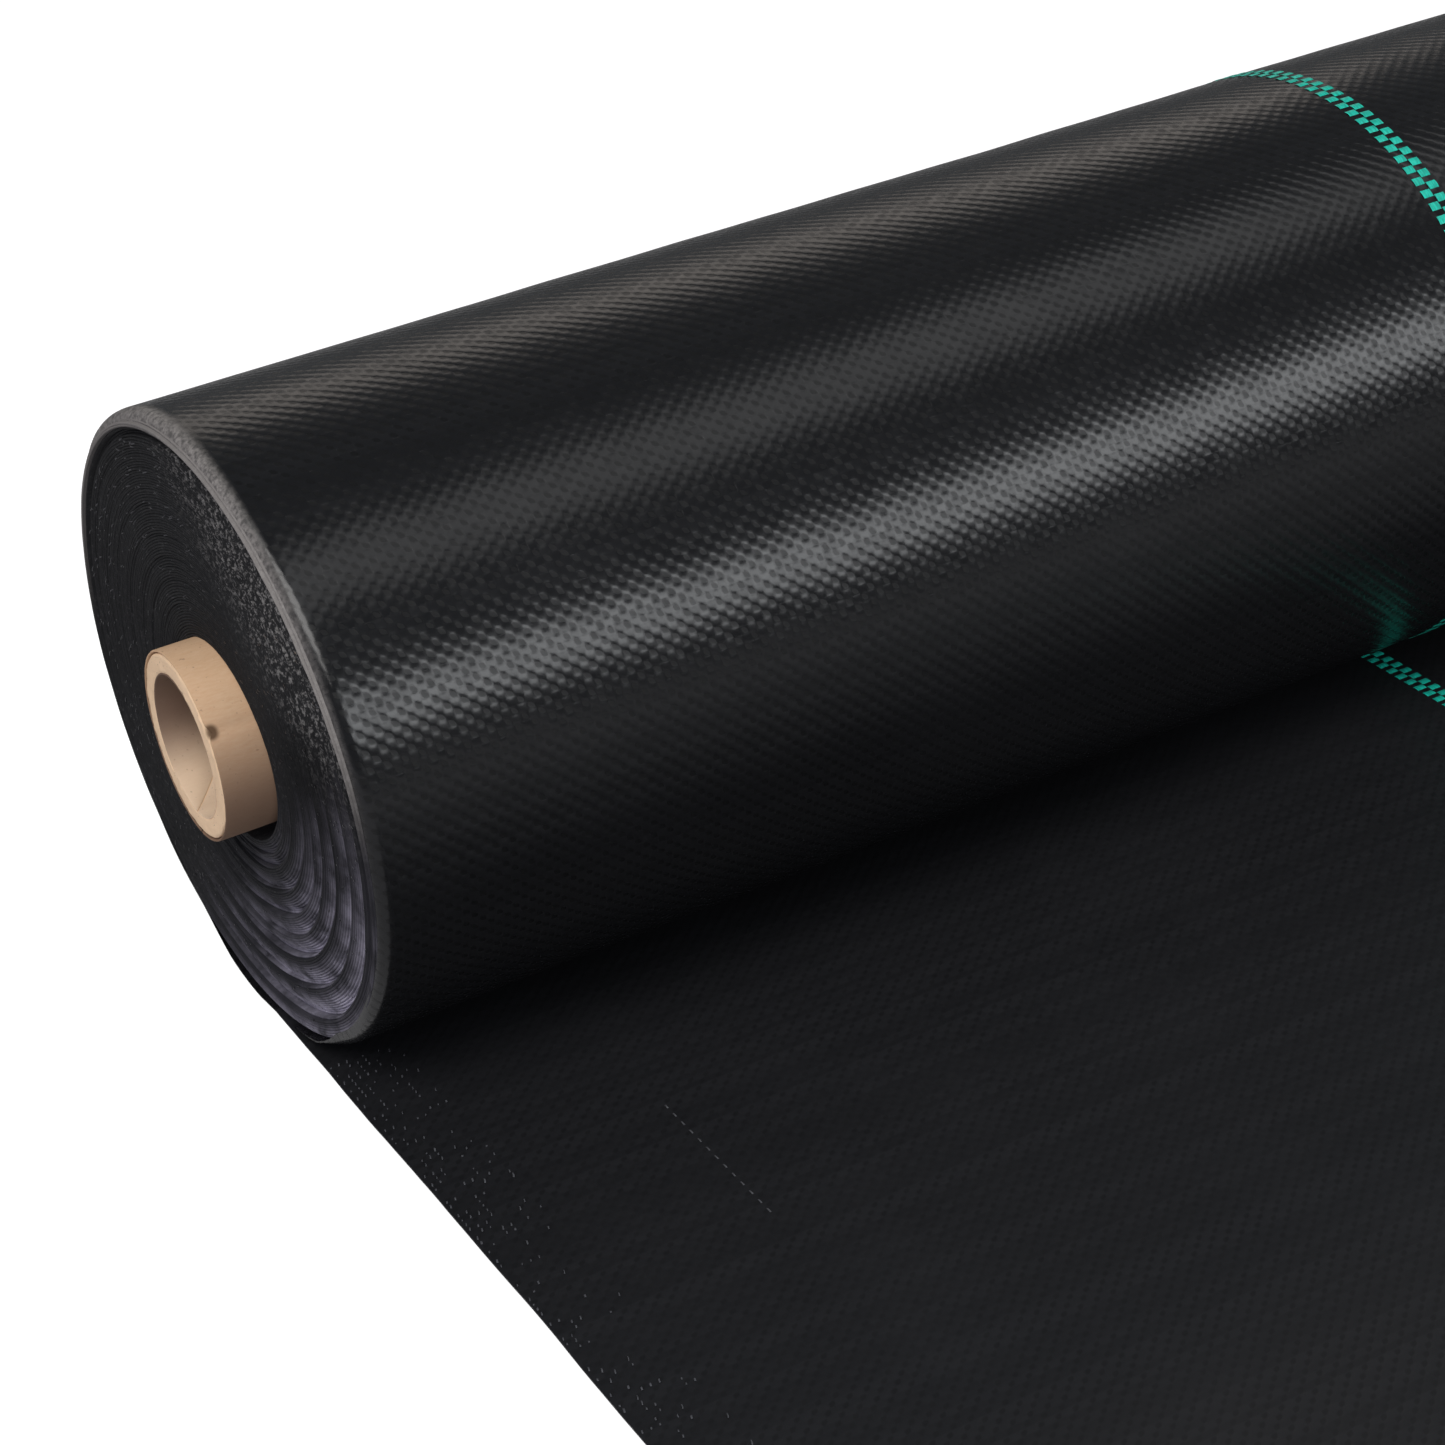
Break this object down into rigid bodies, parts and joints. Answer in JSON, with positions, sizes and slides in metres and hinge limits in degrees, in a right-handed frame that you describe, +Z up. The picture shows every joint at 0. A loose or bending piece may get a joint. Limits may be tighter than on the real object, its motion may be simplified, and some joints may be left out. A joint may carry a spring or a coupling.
{
  "type": "roll of weed control fabric",
  "caption": "Roll of woven weed control fabric on a paper core, with its free end laid flat on the ground in front and marker stripes along it.",
  "frame": {"origin": "on the ground, under the middle of the whole object's box", "axes": "+X along the roll's axis, from the core end that the picture shows to the hidden one; +Y from the fabric's free end to the roll; +Z up"},
  "size_m": [1.02, 0.5843, 0.1677],
  "materials": {
    "fabric": "woven polypropylene tapes, semi-gloss",
    "marker_tape": "woven polypropylene tape, semi-gloss",
    "core_board": "matt, cut edge",
    "core_paper": "matt kraft paper"
  },
  "bodies": {
    "laid_fabric": {"laid_sheet": "fabric", "laid_marker_left_a": "marker_tape", "laid_marker_left_b": "marker_tape", "laid_marker_right_a": "marker_tape", "laid_marker_right_b": "marker_tape"},
    "outside_turn": {"outer_turn": "fabric", "turn_marker_left_a": "marker_tape", "turn_marker_left_b": "marker_tape", "turn_marker_right_a": "marker_tape", "turn_marker_right_b": "marker_tape"},
    "wound_roll": {"wound_pack": "fabric", "core_wall": "core_board", "core_inner_ply": "core_paper", "core_outer_ply": "core_paper"}
  },
  "joints": [
    {"name": "roll_travel", "type": "slide", "parent": "laid_fabric", "child": "outside_turn", "axis": [0, -1, 0], "range_m": [0, 0.45], "deforming": ["laid_sheet", "laid_marker_left_a", "laid_marker_left_b", "laid_marker_right_a", "laid_marker_right_b"]},
    {"name": "roll_turn", "type": "hinge", "parent": "outside_turn", "child": "wound_roll", "pos_m": [0, 0.208, 0.0835], "axis": [1, 0, 0], "range_deg": [0, 315]}
  ],
  "couplings": [
    {"joint": "roll_turn", "follows": "roll_travel", "rad_per_m": 11.976}
  ]
}
